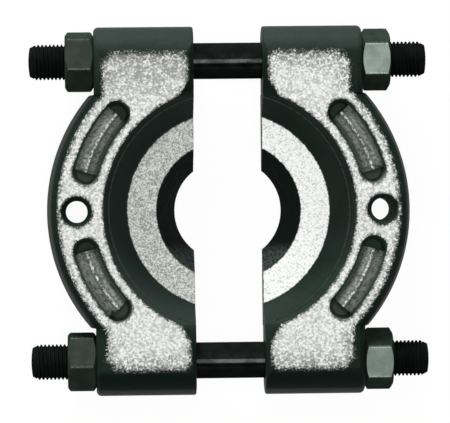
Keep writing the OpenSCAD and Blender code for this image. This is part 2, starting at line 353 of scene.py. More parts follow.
class Wiring:
    """Adds nodes to a shader tree. What feeds them is given as plain values or as sockets."""

    def __init__(self, tree: NodeTree) -> None:
        """Starts wiring in a tree."""
        self.tree = tree

    def feed(self, socket: Socket, value: object) -> None:
        """Links a socket to this one, or sets its value.

        Args:
            socket: The input.
            value: The other socket, or the value.
        """
        if isinstance(value, Socket):
            self.tree.links.new(value, socket)
        else:
            socket.default_value = value

    def new(self, kind: str, inputs: dict[int | str, object], **settings: object) -> Node:
        """Adds a node.

        Args:
            kind: Type name of the node.
            inputs: What feeds its inputs, by their index or name.
            **settings: Its properties, which are set first.

        Returns:
            The new node.
        """
        node = self.tree.nodes.new(kind)
        for key, value in settings.items():
            setattr(node, key, value)
        for key, value in inputs.items():
            self.feed(node.inputs[key], value)
        return node

    def effect(self, group: NodeTree, **inputs: object) -> dict[str, Socket]:
        """Places a shared effect.

        Args:
            group: The effect's node group.
            **inputs: What feeds its inputs, by their names with underscores for blanks.

        Returns:
            The effect's outputs by name.
        """
        named = {key.replace("_", " "): value for key, value in inputs.items()}
        node = self.new("ShaderNodeGroup", named, node_tree=group)
        return {socket.name: socket for socket in node.outputs}

    def math(self, operation: str, *values: object) -> Socket:
        """Adds a Math node and returns its result."""
        return self.new("ShaderNodeMath", dict(enumerate(values)), operation=operation).outputs[0]

    def chain(self, operation: str, *values: object) -> Socket:
        """Applies a Math operation to the first two numbers, to that and the third, and so on."""
        return reduce(lambda first, second: self.math(operation, first, second), values)

    def times(self, *factors: object) -> Socket:
        """Multiplies numbers."""
        return self.chain("MULTIPLY", *factors)

    def largest(self, *values: object) -> Socket:
        """Picks the largest of several numbers."""
        return self.chain("MAXIMUM", *values)

    def smallest(self, *values: object) -> Socket:
        """Picks the smallest of several numbers."""
        return self.chain("MINIMUM", *values)

    def minus(self, value: object, taken: object) -> Socket:
        """Subtracts one number from another."""
        return self.math("SUBTRACT", value, taken)

    def scaled(self, value: object, factor: object, offset: object) -> Socket:
        """Multiplies a number and adds an offset."""
        return self.math("MULTIPLY_ADD", value, factor, offset)

    def steps(self, value: object, low: object, high: object, start: object = 0.0,
              end: object = 1.0) -> Socket:
        """Maps low..high smoothly onto start..end and returns it."""
        inputs = dict(enumerate((value, low, high, start, end)))
        return self.new("ShaderNodeMapRange", inputs, interpolation_type="SMOOTHSTEP").outputs[0]

    def fade(self, value: object, reach: Range, base: float = 0.0) -> Socket:
        """Rises smoothly from 0 to 1 over a range that is counted from a base."""
        return self.steps(value, base + reach[0], base + reach[1])

    def noise(self, position: Socket, scale: object, detail: float, roughness: float) -> Socket:
        """Adds noise about 0.5 and returns it; scale is features in each millimetre."""
        inputs = {"Vector": position, "Scale": scale, "Detail": detail, "Roughness": roughness}
        return self.new("ShaderNodeTexNoise", inputs).outputs[0]

    def mix(self, factor: object, start: object, end: object) -> Socket:
        """Mixes two colours and returns the result."""
        return self.new("ShaderNodeMix", {0: factor, 6: start, 7: end}, data_type="RGBA").outputs[2]

    def blend(self, factor: object, start: object, end: object) -> Socket:
        """Mixes two numbers and returns the result."""
        return self.new("ShaderNodeMix", {0: factor, 2: start, 3: end}).outputs[0]

    def vector(self, operation: str, *values: object) -> Node:
        """Adds a Vector Math node and returns it."""
        return self.new("ShaderNodeVectorMath", dict(enumerate(values)), operation=operation)

    def split(self, vector: Socket) -> tuple[Socket, ...]:
        """Splits a vector and returns its X, Y and Z."""
        return tuple(self.new("ShaderNodeSeparateXYZ", {0: vector}).outputs)

    def joined(self, x: object, y: object, z: object = 0.0) -> Socket:
        """Joins three numbers to a vector."""
        return self.new("ShaderNodeCombineXYZ", {0: x, 1: y, 2: z}).outputs[0]

    def point(self) -> Socket:
        """Adds the point of the surface, in millimetres."""
        inputs = {0: self.new("ShaderNodeTexCoord", {}).outputs["Object"], "Scale": 1 / MM}
        return self.new("ShaderNodeVectorMath", inputs, operation="SCALE").outputs[0]

    def emboss(self, shader: Node, relief: Socket, height: float) -> None:
        """Gives a shader's surface a relief, with its height in millimetres."""
        bump = self.new("ShaderNodeBump", {"Height": relief, "Strength": 1.0, "Distance": height * MM})
        self.feed(shader.inputs["Normal"], bump.outputs[0])


def new_effect(name: str, inputs: dict[str, object], outputs: Sequence[str]) -> tuple[Wiring, dict, dict]:
    """Starts a shader node group that several finishes share.

    Args:
        name: Name of the group.
        inputs: Default of each named input; None stands for a vector.
        outputs: Names of the numbers that it puts out.

    Returns:
        The group's wiring, its inputs and its output sockets by name.
    """
    tree = bpy.data.node_groups.new(name, "ShaderNodeTree")
    for key, value in inputs.items():
        kind = "NodeSocketVector" if value is None else "NodeSocketFloat"
        socket = tree.interface.new_socket(key, in_out="INPUT", socket_type=kind)
        if value is not None:
            socket.default_value = value
    for key in outputs:
        tree.interface.new_socket(key, in_out="OUTPUT", socket_type="NodeSocketFloat")
    entry = tree.nodes.new("NodeGroupInput")
    leave = tree.nodes.new("NodeGroupOutput")
    taken = {key: entry.outputs[key] for key in inputs}
    given = {key: leave.inputs[key] for key in outputs}
    return Wiring(tree), taken, given


def make_steel_grain() -> NodeTree:
    """Builds the effect of coarse bright and dark grains on bare steel.

    Returns:
        A group that puts out Shine, from dark to bright grains, and Relief, the grains' height.
    """
    inputs = {"Position": None, "Grain Size": 0.7, "Dark Share": 0.4, "Softness": 0.12}
    wiring, taken, given = new_effect("steel_grain", inputs, ("Shine", "Relief"))
    broad_scale, broad_share, lowest_middle, middle_span = 0.3, 0.18, 0.35, 0.3
    scale = wiring.math("DIVIDE", 1.0, taken["Grain Size"])
    fine = wiring.noise(taken["Position"], scale, detail=3.0, roughness=0.6)
    broad = wiring.noise(taken["Position"], wiring.times(scale, broad_scale), detail=2.0, roughness=0.5)
    grain = wiring.blend(broad_share, fine, broad)
    middle = wiring.scaled(taken["Dark Share"], middle_span, lowest_middle)
    low = wiring.minus(middle, taken["Softness"])
    high = wiring.math("ADD", middle, taken["Softness"])
    wiring.feed(given["Shine"], wiring.steps(grain, low, high))
    wiring.feed(given["Relief"], grain)
    return wiring.tree


@dataclass(frozen=True)
class JawPlan:
    """Outline of a jaw's ground faces seen from above, in millimetres from the centre of its arcs.

    Attributes:
        upper_face: Height of the outer ground faces.
        lip_face: Height of the ground lip.
        band_inner: Radius at which the ground band begins, on the rounded edge of the dish.
        band_outer: Radius at which it ends, at the outer rounding.
        split_edge: Distance of the bosses' ground edge beside the split face.
        nut_edge: Distance of their ground edge beside the nuts.
        barrel_edge: Distance of their ground edge beside the barrel, from the centre line.
        barrel_haze: Distance from the centre line at which that edge starts to fade.
        barrel_tarnish: Distance from the centre line at which the grains start to darken.
        nut_corner: How far the ground corner between nut and barrel is cut off.
        split_corner: The same between split face and barrel.
        boss_foot: Distance from the centre line at which a boss has run into the band.
        relief_turn: Angle of the relief's edge from the split face, in degrees.
        relief_start: Distance from the centre line at which that edge leaves the split face.
        pocket_radius: Radius of a pocket's middle line.
        pocket_half_width: Half the width of a pocket.
        pocket_start: Angle at which its nearer end circle lies.
        pocket_end: Angle at which its farther end circle lies.
        groove_depth: Depth of the grooves beside its ridge.
        hole_radius: Distance of the leg hole's axis.
        hole_rim: Radius of the leg hole's countersink.
        step: Height of the narrow step in the dish.
        lip_inner: Radius at which the lip's bevel begins.
        lip_outer: Radius at which the cone of the dish begins.
        split_face: Distance of the split face.
        parting_line: Distance from the centre line past which a painted highlight stands for the dies'
            parting line on a lower barrel.
    """

    upper_face: float = 26.0
    lip_face: float = 10.5
    band_inner: float = 47.55
    band_outer: float = 64.55
    split_edge: float = 14.36
    nut_edge: float = 48.24
    barrel_edge: float = 60.8
    barrel_haze: float = 53.0
    barrel_tarnish: float = 51.0
    nut_corner: float = 4.0
    split_corner: float = 2.5
    boss_foot: float = 38.0
    relief_turn: float = 31.0
    relief_start: float = 50.0
    pocket_radius: float = 56.03
    pocket_half_width: float = 5.2
    pocket_start: float = math.radians(15.7)
    pocket_end: float = math.radians(41.8)
    groove_depth: float = 3.2
    hole_radius: float = 57.63
    hole_rim: float = 6.1
    step: float = 20.0
    lip_inner: float = 26.8
    lip_outer: float = 38.0
    split_face: float = 12.0
    parting_line: float = 69.0


PLAN = JawPlan()

# Ranges over which something begins: where it is none, and where it is full, in millimetres.
# Across the centre line, from the lower nut's inset to the upper one's
ACROSS_MIDDLE = (-1.0, 1.0)

# From the height of a face or groove
BELOW_UPPER_FACE = (-0.45, -0.2)
BELOW_CREST = (-0.32, -0.14)
ABOVE_LIP = (0.5, 0.2)
BELOW_LIP = (-0.4, -0.1)
BELOW_BEVEL = (0.3, 0.0)
ABOVE_STEP = (0.4, 0.1)
BELOW_STEP = (-0.4, -0.1)
ABOVE_GROOVE = (-0.3, 0.0)
ABOVE_UNDERSIDE = (1.0, 2.0)

# Inside the rims of the ground faces, and past a boss's foot: darker grains
DARK_RIM = (2.4, 0.2)
DARK_MOUTH = (1.2, 0.0)
DARK_NUT_SIDE = (9.0, 0.0)
DARK_ON_BOSS = (6.0, 12.0)

# Past a line of the plan
IN_DISH = (1.0, -1.0)
ON_WALL = (0.5, 2.5)
BESIDE_BOSS = (0.0, -4.0)
ON_BEVEL = (0.6, 0.2)
# Painted sheen on the upper barrels, where the light from +Y falls
LIT_UPPER_BARREL = (-2.0, 2.0)
# Painted shade on the lower barrels, which face away from the light from +Y
SHADED_LOWER_BARREL = (0.0, 3.0)
# Painted highlight along the parting line of the lower barrels
PARTING_HIGHLIGHT = (-0.5, 0.4)

# Along Y: the upper boss, and the end of the bevel that gets painted light from +Y
UPPER_BOSS = (36.0, 56.0)
LIT_BEVEL_END = (-12.0, -17.0)

# Outside the rim of a pocket
POCKET_MIDDLE = (-2.5, -3.5)
POCKET_WALL = (0.5, 0.0)
POCKET_INSIDE = (0.7, -0.6)

# From the middle line of a pocket's ridge, to both sides or outwards
# Painted shade of the flanks towards the grooves, and the darker band just beside the crest
ON_FLANK = (5.2, 2.8)
OFF_CREST = (0.6, 1.9)
INNER_GROOVE = (-2.5, -3.5)

# Beside the end of a coated bar's glossy part
GLOSS_END = (1.0, -1.0)

# Upward share of the normal, and level of a noise, where something is none and where it is full
FACING_UPPER = (0.4, 0.6)
FACING_LIP = (0.7, 0.9)
FACING_STEP = (0.8, 0.95)
FACING_DOWN = (-0.95, -0.99)
# Upward share over which the flanks' painted light comes in
FACING_FLANK = (0.2, 0.65)
PATCHY = (0.38, 0.62)
# Patches of painted light on the end of the bevel and of the painted highlight on the step
LIT_BEVEL_PATCHES = (0.36, 0.56)
LIT_STEP_PATCHES = (0.34, 0.54)
STREAKY = (0.34, 0.62)


def make_ground_rims() -> NodeTree:
    """Builds the effect that measures how far a point lies inside the rims of a jaw's ground faces.

    Returns:
        A group that puts out, in millimetres, how far a point lies inside the Outer rims of the outer
        faces, outside their Openings, inside the rims of the Lip, outside the nearest Pocket and inside
        the rim on the Nut Side, and its Turn and Radius about the centre of the arcs.
    """
    inputs = {"Position": None, "Side": 1.0, "Arc Centre": 1.3, "Band Growth": 0.0, "Upper Nut Inset": 0.0,
              "Lower Nut Inset": 0.0}
    outputs = ("Outer", "Openings", "Lip", "Pocket", "Nut Side", "Turn", "Radius")
    wiring, taken, given = new_effect("ground_rims", inputs, outputs)
    x, y, _ = wiring.split(taken["Position"])
    out = wiring.times(wiring.minus(x, taken["Arc Centre"]), taken["Side"])
    side = wiring.math("ABSOLUTE", y)
    flat = wiring.joined(out, side)
    radius = wiring.vector("LENGTH", flat).outputs["Value"]
    turn = wiring.math("ARCTAN2", side, out)

    def cut_corner(first: Socket, second: Socket, leg: float) -> Socket:
        """Distance inside a corner whose two sides are cut off at the same length."""
        return wiring.times(wiring.minus(wiring.math("ADD", first, second), leg), math.sqrt(0.5))

    off_split = wiring.minus(out, PLAN.split_edge)
    inset = wiring.blend(wiring.fade(y, ACROSS_MIDDLE), taken["Lower Nut Inset"], taken["Upper Nut Inset"])
    off_nut = wiring.minus(wiring.minus(PLAN.nut_edge, inset), out)
    off_barrel = wiring.minus(PLAN.barrel_edge, side)
    boss = wiring.smallest(off_split, off_nut, off_barrel, wiring.minus(side, PLAN.boss_foot),
                           cut_corner(off_nut, off_barrel, PLAN.nut_corner),
                           cut_corner(off_split, off_barrel, PLAN.split_corner))
    band_outer = wiring.math("ADD", taken["Band Growth"], PLAN.band_outer)
    band = wiring.smallest(off_split, wiring.minus(band_outer, radius), wiring.minus(PLAN.relief_start, side))
    along_arc = wiring.smallest(wiring.largest(turn, PLAN.pocket_start), PLAN.pocket_end)
    middle = wiring.joined(wiring.times(wiring.math("COSINE", along_arc), PLAN.pocket_radius),
                           wiring.times(wiring.math("SINE", along_arc), PLAN.pocket_radius))
    from_middle = wiring.vector("DISTANCE", flat, middle).outputs["Value"]
    pocket = wiring.minus(from_middle, PLAN.pocket_half_width)
    from_hole = wiring.vector("DISTANCE", flat, (PLAN.hole_radius, 0, 0)).outputs["Value"]
    slant = math.radians(PLAN.relief_turn)
    from_relief = wiring.vector("SUBTRACT", flat, (PLAN.split_edge, PLAN.relief_start, 0)).outputs[0]
    across_slant = (math.cos(slant), math.sin(slant), 0)
    off_relief = wiring.vector("DOT_PRODUCT", from_relief, across_slant).outputs["Value"]
    outer = wiring.smallest(wiring.largest(boss, band), off_relief)
    openings = wiring.smallest(wiring.minus(radius, PLAN.band_inner), pocket,
                               wiring.minus(from_hole, PLAN.hole_rim))
    lip = wiring.smallest(wiring.minus(radius, PLAN.lip_inner), wiring.minus(PLAN.lip_outer, radius),
                          wiring.minus(out, PLAN.split_face))
    for key, value in zip(given, (outer, openings, lip, pocket, off_nut, turn, radius)):
        wiring.feed(given[key], value)
    return wiring.tree


def make_ragged_rim() -> NodeTree:
    """Builds the effect of a coating that breaks up towards a rim.

    Returns:
        A group that puts out Bare, 1 where the distance inside the rim is beaten by no grain.
    """
    inputs = {"Position": None, "Distance": 0.0, "Rag": 0.5, "Rag Size": 0.8, "Softness": 0.25}
    wiring, taken, given = new_effect("ragged_rim", inputs, ("Bare",))
    grain_swing, lump_swing, lump_share, lump_scale = 7.0, 4.0, 0.4, 0.22
    scale = wiring.math("DIVIDE", 1.0, taken["Rag Size"])
    fine = wiring.noise(taken["Position"], scale, detail=3.0, roughness=0.65)
    broad = wiring.noise(taken["Position"], wiring.times(scale, lump_scale), detail=1.0, roughness=0.5)
    grain = wiring.scaled(fine, grain_swing, -grain_swing / 2)
    lumps = wiring.scaled(broad, lump_swing, -lump_swing / 2)
    shift = wiring.times(wiring.scaled(lumps, lump_share, grain), taken["Rag"])
    depth = wiring.math("ADD", taken["Distance"], shift)
    wiring.feed(given["Bare"], wiring.steps(depth, wiring.times(taken["Softness"], -1.0), taken["Softness"]))
    return wiring.tree


def make_forged_skin() -> NodeTree:
    """Builds the effect of a hammered and blasted surface.

    Returns:
        A group that puts out Relief, the height of dents and scale, and Mottle, broad patches.
    """
    inputs = {"Position": None, "Dent Size": 3.0, "Scale Size": 0.5, "Patch Size": 16.0}
    wiring, taken, given = new_effect("forged_skin", inputs, ("Relief", "Mottle"))
    scale_share = 0.25
    dents, scale, patches = (
        wiring.noise(taken["Position"], wiring.math("DIVIDE", 1.0, taken[size]), 2.0, roughness)
        for size, roughness in (("Dent Size", 0.5), ("Scale Size", 0.6), ("Patch Size", 0.5)))
    wiring.feed(given["Relief"], wiring.blend(scale_share, dents, scale))
    wiring.feed(given["Mottle"], wiring.fade(patches, PATCHY))
    return wiring.tree


def make_rim_wear() -> NodeTree:
    """Builds the mask of corners and crests that rub bare, by their distance from the stud's axis.

    Returns:
        A group that puts out Wear, 1 where the coating is gone.
    """
    inputs = {"Position": None, "Axis Y": 58.0, "Axis Z": 13.0, "Radius": 11.6, "Width": 0.4, "Rag": 0.4}
    wiring, taken, given = new_effect("rim_wear", inputs, ("Wear",))
    swing = 8.0
    _, y, z = wiring.split(taken["Position"])
    across = wiring.minus(wiring.math("ABSOLUTE", y), taken["Axis Y"])
    radius = wiring.vector("LENGTH", wiring.joined(across, wiring.minus(z, taken["Axis Z"]))).outputs["Value"]
    patch = wiring.scaled(wiring.noise(taken["Position"], 1.1, detail=3.0, roughness=0.6), swing, -swing / 2)
    ragged = wiring.scaled(patch, taken["Rag"], radius)
    start = taken["Radius"]
    wiring.feed(given["Wear"], wiring.steps(ragged, start, wiring.math("ADD", start, taken["Width"])))
    return wiring.tree


@dataclass(frozen=True)
class Effects:
    """The shader node groups that the finishes share."""

    grain: NodeTree
    rims: NodeTree
    ragged: NodeTree
    skin: NodeTree
    wear: NodeTree


def start_material(name: str, specular: float) -> tuple[bpy.types.Material, Wiring, Node]:
    """Starts a material with its Principled shader.

    Args:
        name: Name of the material.
        specular: Specular level, the same all over.

    Returns:
        The material, its wiring and the shader.
    """
    material = bpy.data.materials.new(name)
    material.use_nodes = True
    shader = material.node_tree.nodes["Principled BSDF"]
    shader.inputs["Specular IOR Level"].default_value = specular
    return material, Wiring(material.node_tree), shader


@dataclass(frozen=True)
class JawSurface:
    """What the masks of a jaw's finish read at a point of its surface.

    Attributes:
        wiring: Wiring of the material.
        effects: The shared node groups.
        position: The point, in millimetres.
        y: Its Y.
        side: Its distance from the centre line.
        height: Its height above the underside.
        upward: Upward share of the normal there, from -1 to 1.
        rims: Its distances from the rims of the ground faces, by name.
    """

    wiring: Wiring
    effects: Effects
    position: Socket
    y: Socket
    side: Socket
    height: Socket
    upward: Socket
    rims: dict[str, Socket]

    def torn(self, rim: str, rag: object, rag_size: float, softness: object) -> Socket:
        """Mask of what lies inside one rim, where the coating breaks up."""
        return self.wiring.effect(self.effects.ragged, Position=self.position, Distance=self.rims[rim],
                                  Rag=rag, Rag_Size=rag_size, Softness=softness)["Bare"]


@dataclass(frozen=True)
class ForgedFinish:
    """Black forging skin with faces that are ground bright.

    Attributes:
        name: Name of the material.
        side: Side of the gap on which the jaw lies.
        arc_centre: X of the centre of the jaw's arcs, in millimetres.
        flat_bright: Brightest grains of the outer ground faces.
        flat_dark_share: Share of dark grains there.
        far_dark_share: Share of dark grains on the upper boss.
        far_tarnish: Share of the darkness near the rims that this boss shows all over.
        dish_bloom: Share of the pale tone on the skin inside the dish.
        band_growth: How far the band's ground rim lies outside the plan's, in millimetres.
        nut_insets: How far the ground rim beside the upper and the lower nut lies inside the plan's.
        lip_bright: Brightest grains of the lip.
        lip_dark: Dark grains of the lip.
        lip_dark_share: Share of dark grains on the lip.
        lip_softness: How gently they run into the bright ones.
        outer_rag: How ragged the coating is at the outer rims, in millimetres.
        inner_rag: The same at the dish, the pockets and the leg hole.
        barrel_rag: The same beside the barrels.
        lip_rag: The same at the lip.
        rag_size: Size of the torn grains.
        rim_softness: How softly the coating ends at the outer and inner rims.
        barrel_softness: The same beside the barrels.
        lip_rim_softness: The same at the lip.
        barrel_dark: Share of the darkness near the rims that the steel beside the barrels shows.
        nut_dark: The same beside the nuts.
        rim_dark_share: Share of dark grains that the darkness near the rims adds.
        flat_grain: Size of the grains on the outer ground faces.
        lip_grain: Size of the grains on the lip.
        barrel_painted_sheen: Share of the painted sheen on the upper barrels, where the light from +Y falls.
        wall_darkening: Share of the darkest skin on the outer walls.
        crest_flank: Share of the flanks' paler tone close to a ridge's crest.
        groove_pit: Share of the pits' tone in a pocket's inner groove.
        streak_pace: How fast the flanks' noise changes along a ridge, as a share of across it.
        specular: Specular level.
        skin_roughness: Roughness of the skin.
        ground_roughness: Roughness of the ground steel.
        dent_height: Height of the skin's dents and scale, in millimetres.
        grain_height: Height of the ground steel's grains, as a share of that.
        grain_dark: Dark grains amid the ground faces.
        grain_darkest: Dark grains near their rims.
        skin: Black forging skin.
        skin_patch: Its paler patches.
        bloom_and_painted_sheen: Pale tone of the skin in the dish; on the upper barrels the same colour is a
            painted sheen of the light from +Y.
        bevel: Skin on the bevel of the knife edge.
        painted_lit_skin: Painted light on the skin: a painted highlight on the step in the dish, and patches
            at the end of the bevel that faces the light from +Y.
        darkest_and_painted_shade: Darkest skin on the outer walls; on the lower barrels above their parting
            line it is painted shade, as they face away from the light from +Y.
        parting: Painted highlight along that line, where the rim of the dies' parting line catches the light.
        pit: Skin at the ends of the pockets and on their walls.
        pit_lit_end: Painted light on it at the end of each pocket that lies nearer to -Y, whose wall faces
            the light from +Y.
        flank: Paler flanks of a pocket's ridge.
        flank_streak_and_shade: Dark streaks on them, and their painted shade: darker where they face less
            upwards and towards the grooves.
    """

    name: str
    side: Side
    arc_centre: float
    flat_bright: Colour
    flat_dark_share: float
    far_dark_share: float
    far_tarnish: float
    dish_bloom: float
    band_growth: float
    nut_insets: tuple[float, float]
    lip_bright: Colour
    lip_dark: Colour
    lip_dark_share: float
    lip_softness: float = 0.15
    outer_rag: float = 0.8
    inner_rag: float = 0.6
    barrel_rag: float = 1.1
    lip_rag: float = 0.15
    rag_size: float = 0.6
    rim_softness: float = 0.35
    barrel_softness: float = 1.2
    lip_rim_softness: float = 0.25
    barrel_dark: float = 0.8
    nut_dark: float = 0.75
    rim_dark_share: float = 0.1
    flat_grain: float = 0.8
    lip_grain: float = 0.6
    barrel_painted_sheen: float = 0.5
    wall_darkening: float = 0.8
    crest_flank: float = 0.3
    groove_pit: float = 0.7
    streak_pace: float = 0.3
    specular: float = 0.045
    skin_roughness: float = 0.55
    ground_roughness: float = 0.58
    dent_height: float = 0.35
    grain_height: float = 0.3
    grain_dark: Colour = (0.43, 0.445, 0.43, 1.0)
    grain_darkest: Colour = (0.12, 0.13, 0.125, 1.0)
    skin: Colour = (0.0072, 0.0155, 0.0110, 1.0)
    skin_patch: Colour = (0.0120, 0.0225, 0.0175, 1.0)
    bloom_and_painted_sheen: Colour = (0.026, 0.037, 0.033, 1.0)
    bevel: Colour = (0.0008, 0.0055, 0.0035, 1.0)
    painted_lit_skin: Colour = (0.045, 0.060, 0.054, 1.0)
    darkest_and_painted_shade: Colour = (0.0050, 0.0110, 0.0090, 1.0)
    parting: Colour = (0.032, 0.037, 0.036, 1.0)
    pit: Colour = (0.034, 0.055, 0.042, 1.0)
    pit_lit_end: Colour = (0.083, 0.106, 0.086, 1.0)
    flank: Colour = (0.33, 0.355, 0.32, 1.0)
    flank_streak_and_shade: Colour = (0.085, 0.102, 0.086, 1.0)

    def material(self, effects: Effects) -> bpy.types.Material:
        """Builds the material.

        Args:
            effects: The shared node groups.

        Returns:
            The finished material.
        """
        material, wiring, shader = start_material(self.name, self.specular)
        position = wiring.point()
        rims = wiring.effect(effects.rims, Position=position, Side=float(self.side.value),
                             Arc_Centre=self.arc_centre, Band_Growth=self.band_growth,
                             Upper_Nut_Inset=self.nut_insets[0], Lower_Nut_Inset=self.nut_insets[1])
        _, y, height = wiring.split(position)
        _, _, upward = wiring.split(wiring.new("ShaderNodeTexCoord", {}).outputs["Normal"])
        at = JawSurface(wiring, effects, position, y, wiring.math("ABSOLUTE", y), height, upward, rims)
        lip = self._lip_mask(at)
        ground = wiring.largest(self._upper_mask(at), lip, wiring.fade(upward, FACING_DOWN),
                                self._crest_mask(at))
        skin = wiring.effect(effects.skin, Position=position)
        bare, grains = self._bare_steel(at, lip)
        wiring.feed(shader.inputs["Base Color"], wiring.mix(ground, self._coated(at, skin["Mottle"]), bare))
        wiring.feed(shader.inputs["Metallic"], ground)
        roughness = wiring.blend(ground, self.skin_roughness, self.ground_roughness)
        wiring.feed(shader.inputs["Roughness"], roughness)
        relief = wiring.blend(ground, skin["Relief"], wiring.times(grains, self.grain_height))
        wiring.emboss(shader, relief, self.dent_height)
        return material

    def _upper_mask(self, at: JawSurface) -> Socket:
        """Masks the outer ground faces, with their ragged rims.

        Args:
            at: The surface.

        Returns:
            1 on ground steel, 0 on skin.
        """
        wiring = at.wiring
        haze = wiring.steps(at.side, PLAN.barrel_haze, PLAN.barrel_edge)
        outer = at.torn("Outer", wiring.blend(haze, self.outer_rag, self.barrel_rag), self.rag_size,
                        wiring.blend(haze, self.rim_softness, self.barrel_softness))
        inner = at.torn("Openings", self.inner_rag, self.rag_size, self.rim_softness)
        near = wiring.fade(at.height, BELOW_UPPER_FACE, PLAN.upper_face)
        return wiring.times(wiring.smallest(outer, inner), near, wiring.fade(at.upward, FACING_UPPER))

    def _lip_mask(self, at: JawSurface) -> Socket:
        """Masks the ground lip, with its less ragged rims.

        Args:
            at: The surface.

        Returns:
            1 on ground steel, 0 elsewhere.
        """
        wiring = at.wiring
        torn = at.torn("Lip", self.lip_rag, self.rag_size, self.lip_rim_softness)
        near = wiring.times(wiring.fade(at.height, ABOVE_LIP, PLAN.lip_face),
                            wiring.fade(at.height, BELOW_LIP, PLAN.lip_face))
        return wiring.times(torn, near, wiring.fade(at.upward, FACING_LIP))

    def _crest_mask(self, at: JawSurface) -> Socket:
        """Masks the crest that the grinder took off each pocket's ridge.

        Args:
            at: The surface.

        Returns:
            1 on ground steel, 0 elsewhere.
        """
        wiring, swing = at.wiring, 1.2
        uneven = wiring.scaled(wiring.noise(at.position, 0.8, detail=3.0, roughness=0.7), swing, -swing / 2)
        reached = wiring.fade(wiring.math("ADD", at.height, uneven), BELOW_CREST, PLAN.upper_face)
        return wiring.times(reached, wiring.fade(at.rims["Pocket"], POCKET_MIDDLE))

    def _bare_steel(self, at: JawSurface, lip: Socket) -> tuple[Socket, Socket]:
        """Colours the ground faces, darker towards their rims.

        Args:
            at: The surface.
            lip: Mask of the lip.

        Returns:
            Colour and relief of the ground steel.
        """
        wiring = at.wiring
        at_barrel = wiring.steps(at.side, PLAN.barrel_tarnish, PLAN.barrel_edge)
        at_nut = wiring.times(wiring.fade(at.side, DARK_ON_BOSS, PLAN.boss_foot),
                              wiring.fade(at.rims["Nut Side"], DARK_NUT_SIDE))
        far = wiring.fade(at.y, UPPER_BOSS)
        near_rim = wiring.largest(wiring.fade(at.rims["Outer"], DARK_RIM),
                                  wiring.fade(at.rims["Openings"], DARK_MOUTH),
                                  wiring.times(at_barrel, self.barrel_dark),
                                  wiring.times(at_nut, self.nut_dark),
                                  wiring.times(far, self.far_tarnish))
        share = wiring.scaled(near_rim, self.rim_dark_share,
                              wiring.blend(far, self.flat_dark_share, self.far_dark_share))
        flat = wiring.effect(at.effects.grain, Position=at.position, Grain_Size=self.flat_grain,
                             Dark_Share=share)
        fine = wiring.effect(at.effects.grain, Position=at.position, Grain_Size=self.lip_grain,
                             Dark_Share=self.lip_dark_share, Softness=self.lip_softness)
        dark = wiring.mix(near_rim, self.grain_dark, self.grain_darkest)
        flat_colour = wiring.mix(flat["Shine"], dark, self.flat_bright)
        lip_colour = wiring.mix(fine["Shine"], self.lip_dark, self.lip_bright)
        return wiring.mix(lip, flat_colour, lip_colour), flat["Relief"]

    def _coated(self, at: JawSurface, mottle: Socket) -> Socket:
        """Colours all that isn't ground.

        Args:
            at: The surface.
            mottle: Broad patches of the skin.

        Returns:
            Colour of the skin, bevel, step, barrels and pockets, with painted light and shade on the barrels,
            the step and the end of the bevel.
        """
        wiring, radius, height = at.wiring, at.rims["Radius"], at.height
        near_side = wiring.times(at.y, -1.0)
        uneven = wiring.noise(at.position, 0.9, detail=3.0, roughness=0.7)
        in_dish = wiring.fade(radius, IN_DISH, PLAN.band_inner)
        # Painted sheen: the upper barrels are paler where the light from +Y falls on them
        lit_upper_barrel = wiring.fade(at.y, LIT_UPPER_BARREL, PLAN.barrel_edge)
        on_wall = wiring.times(wiring.fade(at.side, BESIDE_BOSS, PLAN.relief_start),
                               wiring.fade(radius, ON_WALL, PLAN.band_outer))
        on_bevel = wiring.times(wiring.fade(radius, ON_BEVEL, PLAN.lip_inner),
                                wiring.fade(height, BELOW_BEVEL, PLAN.lip_face))
        # Painted light: patches at the end of the bevel nearer to -Y, which faces the light from +Y
        lit_bevel_end = wiring.times(wiring.fade(at.y, LIT_BEVEL_END), wiring.fade(uneven, LIT_BEVEL_PATCHES))
        # Painted highlight on the up-facing step in the dish
        lit_step = wiring.times(wiring.fade(at.upward, FACING_STEP), wiring.fade(uneven, LIT_STEP_PATCHES),
                               wiring.fade(height, ABOVE_STEP, PLAN.step),
                               wiring.fade(height, BELOW_STEP, PLAN.step))
        layers = ((wiring.times(in_dish, self.dish_bloom), self.bloom_and_painted_sheen),
                  (wiring.times(lit_upper_barrel, self.barrel_painted_sheen), self.bloom_and_painted_sheen),
                  (wiring.times(on_wall, self.wall_darkening), self.darkest_and_painted_shade),
                  (on_bevel, wiring.mix(lit_bevel_end, self.bevel, self.painted_lit_skin)),
                  (lit_step, self.painted_lit_skin),
                  # painted shade on the lower barrels, which face away from the light from +Y
                  (wiring.fade(near_side, SHADED_LOWER_BARREL, PLAN.barrel_edge), self.darkest_and_painted_shade),
                  # painted highlight along the lower barrels' parting line
                  (wiring.fade(near_side, PARTING_HIGHLIGHT, PLAN.parting_line), self.parting))
        colour = wiring.mix(mottle, self.skin, self.skin_patch)
        for mask, layer in layers:
            colour = wiring.mix(mask, colour, layer)
        return self._pocketed(at, uneven, colour)

    def _pocketed(self, at: JawSurface, uneven: Socket, around: Socket) -> Socket:
        """Colours the ends and walls of the pockets, and the flanks of their ridges, with painted light at
        the ends nearer to -Y and painted light and shade on the flanks.

        Args:
            at: The surface.
            uneven: Noise that breaks up the pockets' rims.
            around: Colour of the skin around them.

        Returns:
            Colour of the skin with its pockets.
        """
        wiring, turn, rim = at.wiring, at.rims["Turn"], at.rims["Pocket"]
        slack, jag_swing, rim_swing = math.radians(2.4), 0.3, 1.6
        off_ridge = wiring.minus(at.rims["Radius"], PLAN.pocket_radius)
        along_ridge = wiring.times(turn, self.streak_pace * PLAN.pocket_radius)
        drawn_out = wiring.joined(off_ridge, along_ridge, at.y)
        streak = wiring.fade(wiring.noise(drawn_out, 1.0, detail=4.0, roughness=0.65), STREAKY)
        off_middle = wiring.math("ABSOLUTE", off_ridge)
